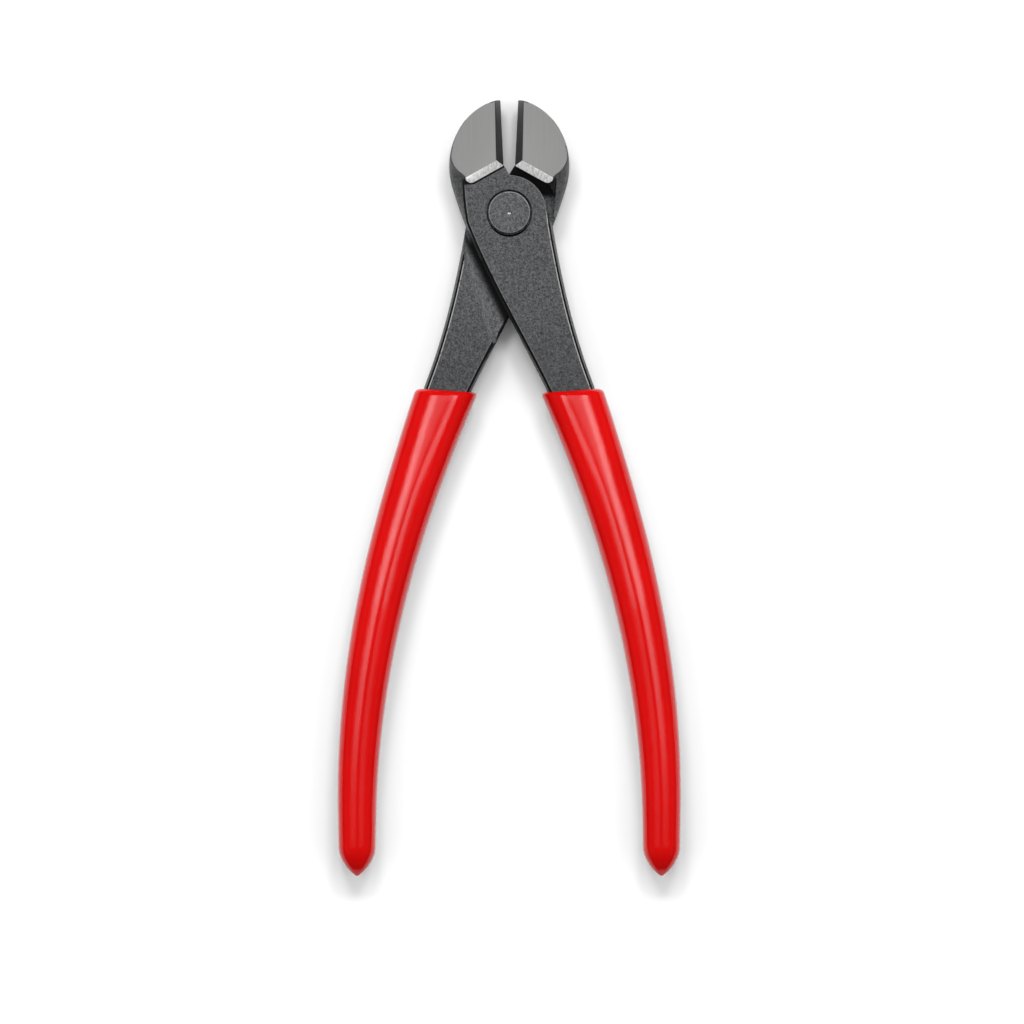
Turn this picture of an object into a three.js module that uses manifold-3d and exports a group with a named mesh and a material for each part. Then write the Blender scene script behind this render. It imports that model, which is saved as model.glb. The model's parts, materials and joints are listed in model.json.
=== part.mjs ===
// Wire cutter: two crossed forged levers that turn on one rivet, each with a dipped soft grip.
// Millimetres. X runs to the right, Y towards the jaws and Z up from the surface the cutter lies on.
// The pieces are drawn about the pivot, with Z = 0 at the joint, and the jaws part open.
import * as THREE from 'three';
import { mergeVertices } from 'three/addons/utils/BufferGeometryUtils.js';
import Module from 'manifold-3d';

// Joint
const JOINT_THICKNESS = 10.6;
const JOINT_GAP = 0.3;
const BOSS_RADIUS = 9.6;
const SIDE_CLEARANCE = 0.3;
const CLOSING_ANGLE = 8.8;
const OPENING_ANGLE = 8;

// Rivet
const SHANK_DIAMETER = 7;
const SHANK_CLEARANCE = 0.1;
const RIVET_HEAD_DIAMETER = 10.7;
const RIVET_GROOVE = 0.45;
const RIVET_HEAD_DEPTH = 2.2;
const RIVET_PROUD = 0.9;
const RIVET_EDGE = 0.35;
const CENTRE_MARK_DIAMETER = 1.6;

// Head, seen from above
const TIP_REACH = 28.9;
const TIP_HALF_WIDTH = 3.3;
const HEAD_HALF_WIDTH = 15.5;
const HEAD_CENTRE = 11.9;
const NECK_HEIGHT = 6.5;
const TIP_HALF_GAP = 2.3;
const THROAT_HALF_GAP = 1.5;
const NOTCH_RISE = 0.4;
const NOTCH_DEPTH = 2.2;
const NOTCH_OFFSET = 0.1;

// Jaw faces
const SHOULDER_ANGLE = 29;
const RECESS_WIDTH = 1.9;
const SHOULDER_STEP = 0.3;
const SHOULDER_RISE = 0.8;
const SHOULDER_WIDTH = 1.8;
const SHOULDER_GROOVE_WIDTH = 0.75;
const SHOULDER_GROOVE_DEPTH = 0.45;
const SHOULDER_END_RADIUS = 1.4;
const FACE_SLOPE = 6.5;
const EDGE_BEVEL_ANGLE = 15;
const EDGE_LAND = 0.2;
const THROAT_ANGLE = 36;

// Rounding of the forging's sides, measured at the joint's face
const JAW_ROUNDING = 0.25;
const NECK_ROUNDING = 3.8;
const SIDE_ROUNDING = 1.1;
const ROUNDING_TOP = 16;
const ROUNDING_WIDEST = 8.7;
const ROUNDING_BASE = -2.6;
const GROOVE_DEPTH = 0.7;
const GROOVE_WALL = 0.2;
const GROOVE_WIDTH = 0.55;
// Up the side: share of the half thickness, how far a rounding draws the side in there, and the groove's share.
// The groove runs just under the edge of the face.
const FLANK = [
  { rise: 0, drawnIn: () => 0, grooved: 0 },
  { rise: 0.5, drawnIn: (rounding) => 0.36 * Math.max(rounding - GROOVE_WIDTH, 0), grooved: 0 },
  { rise: 0.84, drawnIn: (rounding) => Math.max(rounding - GROOVE_WIDTH, 0), grooved: 0 },
  { rise: 0.93, drawnIn: (rounding) => Math.max(rounding - GROOVE_WALL, 0), grooved: 1 },
  { rise: 1.02, drawnIn: (rounding) => rounding, grooved: 0 },
  { rise: 1.28, drawnIn: (rounding) => 1.12 * rounding, grooved: 0 },
];

// Recess beside the boss
const RECESS_REACH = 11.9;
const RECESS_WALL_TOP = 6.4;
const RECESS_WALL_BOTTOM = -1;
const POCKET_RAMP = 2.4;

// Handles, from the middle of a grip's rim
const RIM_OUT = 16.1;
const RIM_BACK = 46;
const RIM_TILT = 4;
const HANDLE_ANGLE = 20.9;
const BEND_LENGTH = 112;
const BEND_POWER = 1.35;
const HIP = 1.5;
const HIP_DROP = 3.1;
const HIP_ANGLE = 9.5;
const INNER_EDGE_SPREAD = 4.5;
const TAPER_START = 12;
const TANG_END_THICKNESS = 6.8;
const TANG_END_CHAMFER = 1.5;

// Grips
const GRIP_LENGTH = 128.4;
const GRIP_RIM_WIDTH = 14.7;
const GRIP_END_WIDTH = 9.3;
const RIM_FLARE = 0.4;
const RIM_FLARE_LENGTH = 45;
const GRIP_END_THICKNESS = 10.2;
const GRIP_LEVEL_LENGTH = 58;
const GRIP_WALL = 1.25;
const GRIP_CLEARANCE = 0.3;
const RIM_ROUNDING = 0.6;
const RIM_BLEND = 25;
const NOSE_LENGTH = 7.2;
const NOSE_FULLNESS = 1.8;
const NOSE_ROUNDNESS = 0.8;
const NOSE_FLAT = 0.25;
const GRIP_SQUARENESS = 4.4;
const GRIP_END_SQUARENESS = 2.5;
const CAVITY_SQUARENESS = 10;

// Fineness of round stretches
const HEAD_STEPS = 30;
const EDGE_STEPS = 18;
const BOSS_STEPS = 28;
const HANDLE_STEPS = 16;
const CENTRELINE_STEPS = 40;
const NOSE_STEPS = 7;
const SECTION_STEPS = 24;
const TURN_STEPS = 48;
const SWEEP_STEPS = 7;
const CORNER_STEPS = 12;
const MERGE_DISTANCE = 1e-5;

// Sizes that follow from the ones above
const JOINT_HALF = JOINT_THICKNESS / 2;
const RIDGE_HALF = JOINT_HALF + SHOULDER_STEP + SHOULDER_RISE;
const BLANK_HALF = JOINT_HALF * FLANK.at(-1).rise;
const HEAD_HALF_LENGTH = (TIP_REACH - HEAD_CENTRE) / Math.sqrt(1 - (TIP_HALF_WIDTH / HEAD_HALF_WIDTH) ** 2);
const NOTCH_REACH = BOSS_RADIUS + NOTCH_RISE;
const THROAT_REACH = NOTCH_REACH + NOTCH_DEPTH;
const SHOULDER_REACH = BOSS_RADIUS + RECESS_WIDTH;
const RIDGE_REACH = SHOULDER_REACH + SHOULDER_WIDTH;
const CUT_REACH = TIP_REACH + GRIP_LENGTH + RIM_BACK;
const GRIP_SEAT = GRIP_WALL + GRIP_CLEARANCE;
const TANG_LENGTH = GRIP_LENGTH - NOSE_LENGTH;
const UP = new THREE.Vector3(0, 0, 1);

const wasm = await Module();
wasm.setup();
const { clamp, degToRad, lerp, smoothstep } = THREE.MathUtils;
const point = (x, y) => new THREE.Vector2(x, y);

// A closed three.js geometry as a solid that can be cut and joined
function solid(geometry) {
  const bare = geometry.clone();
  bare.deleteAttribute('normal');
  bare.deleteAttribute('uv');
  const merged = mergeVertices(bare, MERGE_DISTANCE);
  const corners = merged.index.array;
  const triVerts = [];
  for (let i = 0; i < corners.length; i += 3) {
    const [a, b, c] = corners.slice(i, i + 3);
    if (a !== b && b !== c && c !== a) triVerts.push(a, b, c);
  }
  return new wasm.Manifold(new wasm.Mesh({
    numProp: 3,
    vertProperties: Float32Array.from(merged.attributes.position.array),
    triVerts: Uint32Array.from(triVerts),
  }));
}

// A finished solid as a geometry for a mesh
function geometryOf(body) {
  const mesh = body.getMesh();
  const geometry = new THREE.BufferGeometry();
  geometry.setAttribute('position', new THREE.BufferAttribute(mesh.vertProperties, 3));
  geometry.setIndex(new THREE.BufferAttribute(mesh.triVerts, 1));
  geometry.computeVertexNormals();
  return geometry;
}

// Rings of equally many points, each drawn anticlockwise as seen from the next one, closed into a body
function loft(rings, capTriangles) {
  const count = rings[0].length;
  const last = (rings.length - 1) * count;
  const corners = [];
  for (let k = 0; k < rings.length - 1; k += 1) {
    for (let i = 0; i < count; i += 1) {
      const a = k * count + i;
      const b = k * count + (i + 1) % count;
      corners.push(a, b, b + count, a, b + count, a + count);
    }
  }
  for (const [a, b, c] of capTriangles) {
    corners.push(a, c, b, last + a, last + b, last + c);
  }
  const geometry = new THREE.BufferGeometry().setFromPoints(rings.flat());
  geometry.setIndex(corners);
  return geometry;
}

// Body between level outlines, each given with its height
function stack(outlines) {
  const rings = outlines.map(({ outline, z }) => outline.map((p) => new THREE.Vector3(p.x, p.y, z)));
  return solid(loft(rings, THREE.ShapeUtils.triangulateShape(outlines[0].outline, [])));
}

// Outline with each point moved inwards by its own amount
function inset(outline, amounts) {
  return outline.map((p, i) => {
    const before = outline.at(i - 1);
    const after = outline[(i + 1) % outline.length];
    const inwards = (from, to) => point(from.y - to.y, to.x - from.x).normalize();
    const direction = inwards(before, p).add(inwards(p, after)).normalize();
    return p.clone().addScaledVector(direction, amounts[i]);
  });
}

// Prism with a section drawn along a level direction and up, running past the tool.
// It starts past the other side too, or at an origin with its end at an angle to the section.
function crossPrism(section, direction, origin, endAngle = 0) {
  const start = origin ? 0 : -CUT_REACH;
  const prism = new THREE.ExtrudeGeometry(new THREE.Shape(section), {
    depth: CUT_REACH - start,
    bevelEnabled: false,
  });
  prism.translate(0, 0, start);
  prism.applyMatrix4(new THREE.Matrix4().makeShear(0, Math.tan(endAngle), 0, 0, 0, 0));
  const along = new THREE.Vector3(direction.x, direction.y, 0);
  const side = new THREE.Vector3().crossVectors(along, UP);
  prism.applyMatrix4(new THREE.Matrix4().makeBasis(along, UP, side));
  if (origin) prism.translate(origin.x, origin.y, 0);
  return solid(prism);
}

const upsideDown = (section) => section.map((p) => point(p.x, -p.y));

function upright(radius, bottom, top) {
  const cylinder = new THREE.CylinderGeometry(radius, radius, top - bottom, TURN_STEPS);
  cylinder.rotateX(Math.PI / 2);
  cylinder.translate(0, 0, (top + bottom) / 2);
  return solid(cylinder);
}

// Turned half over about its length, which swaps the two levers and the two grips
const turnedOver = (body) => body.rotate([0, 180, 0]);

// Centreline of the right handle: its angle from straight back, and its place, at a distance from the rim
function handleAngle(distance) {
  const bend = clamp(distance / BEND_LENGTH, 0, 1) ** BEND_POWER;
  return degToRad(HANDLE_ANGLE) * (1 - bend);
}

function handlePlace(distance) {
  const step = distance / CENTRELINE_STEPS;
  const place = point(RIM_OUT, -RIM_BACK);
  for (let i = 0; i < CENTRELINE_STEPS; i += 1) {
    const angle = handleAngle((i + 0.5) * step);
    place.x += Math.sin(angle) * step;
    place.y -= Math.cos(angle) * step;
  }
  return place;
}

const gripHalfWidth = (distance) => lerp(GRIP_RIM_WIDTH, GRIP_END_WIDTH, distance / GRIP_LENGTH) / 2;
const HANDLE_END = -handlePlace(TANG_LENGTH).y;

// Half thickness of the lever at a place behind the pivot
function tangHalf(y) {
  const taper = clamp((-y - TAPER_START) / (HANDLE_END - TAPER_START), 0, 1);
  return lerp(JOINT_HALF, TANG_END_THICKNESS / 2, taper);
}

function tangSide(distance, side, trim = 0) {
  const angle = handleAngle(distance);
  const out = side * (gripHalfWidth(distance) - GRIP_SEAT - trim);
  return handlePlace(distance).add(point(Math.cos(angle) * out, Math.sin(angle) * out));
}

// Smooth edge between two points that leaves and arrives at given angles from straight back
function sweptEdge(start, startAngle, end, endAngle) {
  const pull = start.distanceTo(end) / 3;
  const heading = (angle) => point(Math.sin(angle), -Math.cos(angle));
  const leave = start.clone().addScaledVector(heading(startAngle), pull);
  const arrive = end.clone().addScaledVector(heading(endAngle), -pull);
  return new THREE.CubicBezierCurve(start, leave, arrive, end).getPoints(EDGE_STEPS);
}

// Stretches of the upper lever's outline at the joint's middle, anticlockwise from the tip of the left jaw
const throat = point(-THROAT_HALF_GAP, THROAT_REACH);
const tip = point(-TIP_HALF_GAP, TIP_REACH);

function headArc() {
  const turnAt = (y) => Math.PI - Math.asin((y - HEAD_CENTRE) / HEAD_HALF_LENGTH);
  const arc = new THREE.EllipseCurve(
    0, HEAD_CENTRE, HEAD_HALF_WIDTH, HEAD_HALF_LENGTH, turnAt(TIP_REACH), turnAt(NECK_HEIGHT),
  );
  return arc.getPoints(HEAD_STEPS);
}

function innerEdge(neck) {
  const drop = HEAD_CENTRE - neck.y;
  const neckAngle = Math.atan((drop * HEAD_HALF_WIDTH ** 2) / (-neck.x * HEAD_HALF_LENGTH ** 2));
  return sweptEdge(neck, neckAngle, tangSide(0, -1), degToRad(HANDLE_ANGLE + INNER_EDGE_SPREAD));
}

function tangEnd() {
  const straight = TANG_LENGTH - TANG_END_CHAMFER;
  const inner = [];
  const outer = [];
  for (let i = 1; i <= HANDLE_STEPS; i += 1) {
    const distance = (straight * i) / HANDLE_STEPS;
    inner.push(tangSide(distance, -1));
    outer.unshift(tangSide(distance, 1));
  }
  const end = [tangSide(TANG_LENGTH, -1, TANG_END_CHAMFER), tangSide(TANG_LENGTH, 1, TANG_END_CHAMFER)];
  return [...inner, ...end, ...outer];
}

function outerEdge() {
  const hip = point(BOSS_RADIUS + HIP, -HIP_DROP);
  return sweptEdge(hip, degToRad(HIP_ANGLE), tangSide(0, 1), degToRad(HANDLE_ANGLE)).reverse();
}

function bossArc() {
  const start = Math.asin(NOTCH_RISE / BOSS_RADIUS);
  const arc = new THREE.EllipseCurve(0, 0, BOSS_RADIUS, BOSS_RADIUS, start, Math.PI / 2 - start);
  return arc.getPoints(BOSS_STEPS);
}

const head = headArc();
const inside = innerEdge(head.at(-1)).slice(1);
const outside = outerEdge();
const boss = bossArc();
const notch = point(-NOTCH_OFFSET, NOTCH_REACH);
const leverOutline = [tip, ...head, ...inside, ...tangEnd(), ...outside, ...boss, notch, throat];

// Rounding of the forging's side at a place along the head and the inner edge
function neckRounding(y) {
  if (y > ROUNDING_TOP) return JAW_ROUNDING;
  if (y > ROUNDING_WIDEST) {
    return lerp(JAW_ROUNDING, NECK_ROUNDING, ((ROUNDING_TOP - y) / (ROUNDING_TOP - ROUNDING_WIDEST)) ** 2);
  }
  const fade = clamp((ROUNDING_WIDEST - y) / (ROUNDING_WIDEST - ROUNDING_BASE), 0, 1);
  return lerp(NECK_ROUNDING, SIDE_ROUNDING, fade);
}

function leverRounding() {
  const left = head.length + inside.length;
  const right = leverOutline.length - boss.length - 2;
  return leverOutline.map((p, i) => {
    if (i < 2 || i >= right) return 0;
    return i <= left ? neckRounding(p.y) : SIDE_ROUNDING;
  });
}

// Forging before its faces are ground: widest at the joint's middle, rounded towards both faces
function leverBlank() {
  const rounding = leverRounding();
  const ring = ({ rise, drawnIn, grooved }, side) => {
    const outline = inset(leverOutline, rounding.map(drawnIn));
    return outline.map((p, i) => {
      const y = leverOutline[i].y;
      const fade = rounding[i] > 0 ? 1 - smoothstep(y, NECK_HEIGHT, ROUNDING_WIDEST) : 0;
      const z = rise * tangHalf(y) - grooved * fade * GROOVE_DEPTH;
      return new THREE.Vector3(p.x, p.y, side * z);
    });
  };
  const below = FLANK.slice(1).reverse().map((level) => ring(level, -1));
  const above = FLANK.map((level) => ring(level, 1));
  const cap = below[0].map((p) => point(p.x, p.y));
  return solid(loft([...below, ...above], THREE.ShapeUtils.triangulateShape(cap, [])));
}

// Space above the faces along the lever: level joint, groove and bevel of the shoulder, sloping jaw face
function faceSection() {
  const fall = (2 * TIP_REACH) * Math.tan(degToRad(FACE_SLOPE));
  return [
    point(-CUT_REACH, JOINT_HALF),
    point(SHOULDER_REACH - SHOULDER_GROOVE_WIDTH, JOINT_HALF),
    point(SHOULDER_REACH, JOINT_HALF - SHOULDER_GROOVE_DEPTH),
    point(SHOULDER_REACH, JOINT_HALF + SHOULDER_STEP),
    point(RIDGE_REACH, RIDGE_HALF),
    point(RIDGE_REACH + 2 * TIP_REACH, RIDGE_HALF - fall),
    point(RIDGE_REACH + 2 * TIP_REACH, 2 * BLANK_HALF),
    point(-CUT_REACH, 2 * BLANK_HALF),
  ];
}

// Outer end of the shoulder's near edge, where the face meets the rounded neck
function shoulderCorner() {
  const angle = degToRad(SHOULDER_ANGLE);
  const corner = point(0, 0);
  for (let i = 0; i < CORNER_STEPS; i += 1) {
    corner.y = (SHOULDER_REACH + corner.x * Math.sin(angle)) / Math.cos(angle);
    const rise = (corner.y - HEAD_CENTRE) / HEAD_HALF_LENGTH;
    corner.x = neckRounding(corner.y) - HEAD_HALF_WIDTH * Math.sqrt(1 - rise ** 2);
  }
  return corner;
}

// Space round the rounded outer end of a shoulder, above the bottom of its groove
function shoulderEnd() {
  const angle = degToRad(SHOULDER_ANGLE);
  const inwards = point(Math.cos(angle), Math.sin(angle));
  const down = point(Math.sin(angle), -Math.cos(angle));
  const corner = shoulderCorner();
  const leg = SHOULDER_END_RADIUS / Math.tan((Math.PI / 2 - angle) / 2);
  const centre = corner.clone().add(point(SHOULDER_END_RADIUS, leg));
  const last = corner.clone().addScaledVector(inwards, leg).addScaledVector(down, SHOULDER_GROOVE_WIDTH);
  const outside = corner.clone().addScaledVector(down, SHOULDER_GROOVE_WIDTH);
  outside.addScaledVector(inwards, -SHOULDER_END_RADIUS);
  const outline = new THREE.Shape();
  outline.absarc(centre.x, centre.y, SHOULDER_END_RADIUS, Math.PI, 1.5 * Math.PI + angle);
  outline.lineTo(last.x, last.y);
  outline.lineTo(outside.x, outside.y);
  const prism = new THREE.ExtrudeGeometry(outline, { depth: 2 * BLANK_HALF, bevelEnabled: false });
  prism.translate(0, 0, JOINT_HALF - SHOULDER_GROOVE_DEPTH);
  return solid(prism);
}

// Space above the cutting bevel, across the edge and into the jaw
function bevelSection() {
  const rise = 2 * BLANK_HALF;
  return [
    point(0, EDGE_LAND / 2),
    point((rise - EDGE_LAND / 2) * Math.tan(degToRad(EDGE_BEVEL_ANGLE)), rise),
    point(-TIP_HALF_GAP, rise),
    point(-TIP_HALF_GAP, EDGE_LAND / 2),
  ];
}

// Space above the tang, which thins from the joint to its end
function taperSection() {
  return [
    point(TAPER_START, JOINT_HALF),
    point(HANDLE_END, TANG_END_THICKNESS / 2),
    point(CUT_REACH, TANG_END_THICKNESS / 2),
    point(CUT_REACH, 2 * BLANK_HALF),
    point(TAPER_START, 2 * BLANK_HALF),
  ];
}

// Room in the lower lever's upper half for the upper lever at every angle between its stops
function sweptPocket() {
  const outline = [...inside, ...outside, ...boss, notch, throat, head.at(-1)];
  const ramp = outline.map((p, i) => (i < inside.length ? POCKET_RAMP : 0));
  const room = (share) => inset(outline, ramp.map((r) => -SIDE_CLEARANCE - r * share));
  const top = 2 * BLANK_HALF;
  const still = stack([
    { outline: room(0), z: -JOINT_GAP / 2 },
    { outline: room(top / JOINT_HALF), z: top },
  ]);
  let pocket = still;
  for (let i = 0; i <= SWEEP_STEPS; i += 1) {
    pocket = pocket.add(still.rotate([0, 0, lerp(-CLOSING_ANGLE, OPENING_ANGLE, i / SWEEP_STEPS)]));
  }
  return pocket;
}

// Recess between the boss of the upper lever and the lower lever's shoulder and neck
function bossRecess() {
  const angle = degToRad(SHOULDER_ANGLE);
  const shoulderAt = (x) => (SHOULDER_REACH - x * Math.sin(angle)) / Math.cos(angle);
  const corner = RECESS_REACH - 2 * RECESS_WIDTH;
  const outline = new THREE.Shape();
  outline.moveTo(0, 0);
  outline.lineTo(BOSS_RADIUS, -HIP_DROP);
  outline.lineTo(BOSS_RADIUS + HIP, RECESS_WALL_BOTTOM);
  outline.lineTo(RECESS_REACH, (RECESS_WALL_TOP + RECESS_WALL_BOTTOM) / 2);
  outline.quadraticCurveTo(RECESS_REACH, RECESS_WALL_TOP, corner, shoulderAt(corner));
  outline.lineTo(-NOTCH_OFFSET, shoulderAt(-NOTCH_OFFSET));
  const prism = new THREE.ExtrudeGeometry(outline, { depth: 2 * BLANK_HALF, bevelEnabled: false });
  prism.translate(0, 0, -JOINT_GAP / 2);
  return solid(prism);
}

function lever() {
  const shoulder = degToRad(SHOULDER_ANGLE);
  const towardsTip = point(-Math.sin(shoulder), Math.cos(shoulder));
  const edge = tip.clone().sub(throat).normalize();
  const intoJaw = point(-edge.y, edge.x);
  const back = point(0, -1);
  const cuts = [turnedOver(sweptPocket()), turnedOver(bossRecess())];
  cuts.push(shoulderEnd(), shoulderEnd().mirror([0, 0, 1]));
  for (const side of [(section) => section, upsideDown]) {
    cuts.push(crossPrism(side(faceSection()), towardsTip));
    cuts.push(crossPrism(side(bevelSection()), intoJaw, throat, degToRad(THROAT_ANGLE)));
    cuts.push(crossPrism(side(taperSection()), back));
  }
  cuts.push(upright(SHANK_DIAMETER / 2 + SHANK_CLEARANCE, -BLANK_HALF, 2 * BLANK_HALF));
  const counterbore = RIVET_HEAD_DIAMETER / 2 + RIVET_GROOVE;
  cuts.push(upright(counterbore, JOINT_HALF - RIVET_HEAD_DEPTH, 2 * BLANK_HALF));
  return cuts.reduce((body, cut) => body.subtract(cut), leverBlank());
}

// Rivet with a head sunk in each lever and a centre mark in each head
function rivet() {
  const top = JOINT_HALF + RIVET_PROUD;
  const seat = JOINT_HALF - RIVET_HEAD_DEPTH + SHANK_CLEARANCE;
  const radius = RIVET_HEAD_DIAMETER / 2;
  const mark = CENTRE_MARK_DIAMETER / 2;
  const upper = [
    point(SHANK_DIAMETER / 2, seat),
    point(radius, seat),
    point(radius, top - RIVET_EDGE),
    point(radius - RIVET_EDGE, top),
    point(mark, top),
    point(0, top - mark),
  ];
  const profile = [...upsideDown(upper).reverse(), ...upper];
  const turned = new THREE.LatheGeometry(profile, TURN_STEPS);
  turned.rotateX(Math.PI / 2);
  return solid(turned);
}

// One section of a grip: a squared round across the handle, drawn about the centreline
function gripSection(distance, halfWidth, halfThickness, squareness) {
  const angle = handleAngle(distance);
  const level = smoothstep(distance, 0, RIM_BLEND);
  const tilt = lerp(degToRad(RIM_TILT), angle, level);
  const across = halfWidth / Math.cos(angle - tilt);
  const place = handlePlace(distance);
  const squared = (value) => Math.sign(value) * Math.abs(value) ** (2 / squareness);
  const widest = squared(Math.cos(Math.PI / SECTION_STEPS));
  const ring = [];
  for (let i = 0; i < SECTION_STEPS; i += 1) {
    const turn = ((i + 0.5) * 2 * Math.PI) / SECTION_STEPS;
    const out = (across * squared(Math.cos(turn))) / widest;
    const up = (halfThickness * squared(Math.sin(turn))) / widest;
    ring.push(new THREE.Vector3(place.x + out * Math.cos(tilt), place.y + out * Math.sin(tilt), up));
  }
  return ring;
}

function gripLoft(rings) {
  const fan = [];
  for (let i = 1; i < SECTION_STEPS - 1; i += 1) fan.push([0, i, i + 1]);
  return solid(loft(rings, fan));
}

function gripOutside() {
  const straight = GRIP_LENGTH - NOSE_LENGTH;
  const rings = [];
  const add = (distance, share, trim = 0) => {
    const thinning = clamp((distance - GRIP_LEVEL_LENGTH) / (straight - GRIP_LEVEL_LENGTH), 0, 1);
    const halfThickness = lerp(RIDGE_HALF, GRIP_END_THICKNESS / 2, thinning);
    const squareness = lerp(GRIP_SQUARENESS, GRIP_END_SQUARENESS, clamp(distance / straight, 0, 1));
    const flare = RIM_FLARE * clamp(1 - distance / RIM_FLARE_LENGTH, 0, 1) ** 2;
    const halfWidth = gripHalfWidth(distance) + flare;
    rings.push(gripSection(distance, halfWidth * share - trim, halfThickness * share - trim, squareness));
  };
  add(0, 1, RIM_ROUNDING);
  for (let i = 0; i <= HANDLE_STEPS; i += 1) add(lerp(RIM_ROUNDING, straight, i / HANDLE_STEPS), 1);
  for (let i = 1; i <= NOSE_STEPS; i += 1) {
    const along = i / (NOSE_STEPS + NOSE_FLAT);
    add(straight + NOSE_LENGTH * along, (1 - along ** NOSE_FULLNESS) ** NOSE_ROUNDNESS);
  }
  return gripLoft(rings);
}

function gripCavity() {
  const rings = [];
  for (let i = -1; i <= HANDLE_STEPS; i += 1) {
    const distance = ((TANG_LENGTH + GRIP_CLEARANCE) * i) / HANDLE_STEPS;
    const halfWidth = gripHalfWidth(distance) - GRIP_WALL;
    const halfThickness = tangHalf(handlePlace(distance).y) + GRIP_CLEARANCE;
    rings.push(gripSection(distance, halfWidth, halfThickness, CAVITY_SQUARENESS));
  }
  return gripLoft(rings);
}

function material(colour, roughness, metalness) {
  return new THREE.MeshStandardMaterial({ color: colour, roughness, metalness });
}

function piece(name, body, finish) {
  const mesh = new THREE.Mesh(geometryOf(body), finish);
  mesh.name = name;
  return mesh;
}

function cutter() {
  const blackSteel = material(0x45474a, 0.5, 0.9);
  const rivetSteel = material(0x3c3e41, 0.45, 0.9);
  const redGrip = material(0xd41414, 0.35, 0);
  const leverBody = lever();
  const gripBody = gripOutside().subtract(gripCavity());

  const upperHalf = new THREE.Group();
  upperHalf.add(piece('upper_lever', leverBody, blackSteel), piece('right_grip', gripBody, redGrip));

  const lowerHalf = new THREE.Group();
  lowerHalf.add(piece('lower_lever', leverBody, blackSteel), piece('left_grip', gripBody, redGrip));
  lowerHalf.rotation.y = Math.PI;

  const tool = new THREE.Group();
  tool.add(upperHalf, lowerHalf, piece('pivot_rivet', rivet(), rivetSteel));
  return tool;
}

// The cutter stands with the middle of its box's underside at the origin
const wireCutter = new THREE.Group();
const tool = cutter();
wireCutter.add(tool);
const box = new THREE.Box3().setFromObject(tool, true);
const middle = box.getCenter(new THREE.Vector3());
tool.position.set(-middle.x, -middle.y, -box.min.z);

export default wireCutter;
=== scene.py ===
import json
import math
from collections import namedtuple

import bmesh
import bpy
from bpy.props import FloatProperty, FloatVectorProperty, PointerProperty
from mathutils import Matrix, Vector
from mathutils.bvhtree import BVHTree


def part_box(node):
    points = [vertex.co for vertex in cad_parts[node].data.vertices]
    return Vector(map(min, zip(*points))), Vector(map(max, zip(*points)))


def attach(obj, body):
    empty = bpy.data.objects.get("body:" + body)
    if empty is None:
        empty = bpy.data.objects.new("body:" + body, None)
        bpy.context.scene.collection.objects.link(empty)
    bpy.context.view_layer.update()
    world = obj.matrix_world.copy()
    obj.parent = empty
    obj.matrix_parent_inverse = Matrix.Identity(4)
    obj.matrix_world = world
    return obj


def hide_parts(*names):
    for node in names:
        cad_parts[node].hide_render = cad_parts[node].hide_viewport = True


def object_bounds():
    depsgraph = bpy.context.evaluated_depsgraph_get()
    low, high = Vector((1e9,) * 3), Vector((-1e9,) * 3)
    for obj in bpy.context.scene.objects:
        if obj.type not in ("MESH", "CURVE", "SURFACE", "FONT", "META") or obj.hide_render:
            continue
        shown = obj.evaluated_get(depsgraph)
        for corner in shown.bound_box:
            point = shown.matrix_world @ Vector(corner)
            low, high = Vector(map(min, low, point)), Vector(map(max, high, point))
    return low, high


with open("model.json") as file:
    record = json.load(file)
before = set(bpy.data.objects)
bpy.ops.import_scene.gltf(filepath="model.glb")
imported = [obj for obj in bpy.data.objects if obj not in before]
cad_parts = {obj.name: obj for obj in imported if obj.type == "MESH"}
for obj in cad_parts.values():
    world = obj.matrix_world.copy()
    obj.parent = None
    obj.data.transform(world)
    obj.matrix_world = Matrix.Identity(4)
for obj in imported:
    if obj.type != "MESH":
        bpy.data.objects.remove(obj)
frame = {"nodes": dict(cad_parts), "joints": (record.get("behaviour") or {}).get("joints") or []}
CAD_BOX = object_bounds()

bl_info = {
    "name": "Wire cutter",
    "version": (1, 0, 0),
    "blender": (4, 5, 0),
    "location": "View3D > Sidebar > Wire cutter",
    "description": "Dresses a hand wire cutter: forged black levers, ground jaws, a rivet and dipped grips",
    "category": "Object",
}

PIVOT = Vector(frame["joints"][0]["pos_m"])
TURNED_OVER = Matrix.Rotation(math.pi, 4, "Y")
HALF_THICKNESS = (CAD_BOX[1].z - CAD_BOX[0].z) / 2
RIVET_HALF = (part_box("pivot_rivet")[1].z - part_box("pivot_rivet")[0].z) / 2
RIVET_RADIUS = (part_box("pivot_rivet")[1].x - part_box("pivot_rivet")[0].x) / 2

# Finishes of a lever, in the order of its material slots; the groove, recess and flank finishes hold
# painted shade
OXIDE, GROUND, SHOULDER, STRIP, GROOVE, RECESS, FLANK, INNER_FLANK = range(8)

# Least upward share of the normal of a level face and of a ramp, and least share along the jaw of a wall's
MOSTLY_LEVEL = 0.9
SLOPING = 0.3
SLANTED = 0.4

# Least share along a way of the normal of a face that faces that way, and of a handle's outer edge
FACING = 0.3
EDGE_FACING = 0.1

# Edges that turn more than this are broken
SHARP_EDGE = math.radians(28)

# How near vertices lie that are one, and how near a place lies to the face, round or wall that it is on
MERGED = 1e-6
ON_FACE = 1e-5
ON_ROUND = 2e-5
ON_WALL = 5e-5

# Largest turn between faces of the solid that are one flat face
FLAT_TURN = math.radians(0.5)

# Area below which a level face beside the jaw is a leftover between two cuts, in square metres
SLIVER = 1e-6

# Top of the pockets' ramps, over the pivot
RAMP_TOP = 0.002

# Bottom and top of a flank's groove, as shares of the lever's half thickness there
GROOVE_RISE = (0.8, 0.99)

# Bottom of the painted shade in the rivet's sinking, as a share of the face height
SINKING_RISE = 0.9

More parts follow.
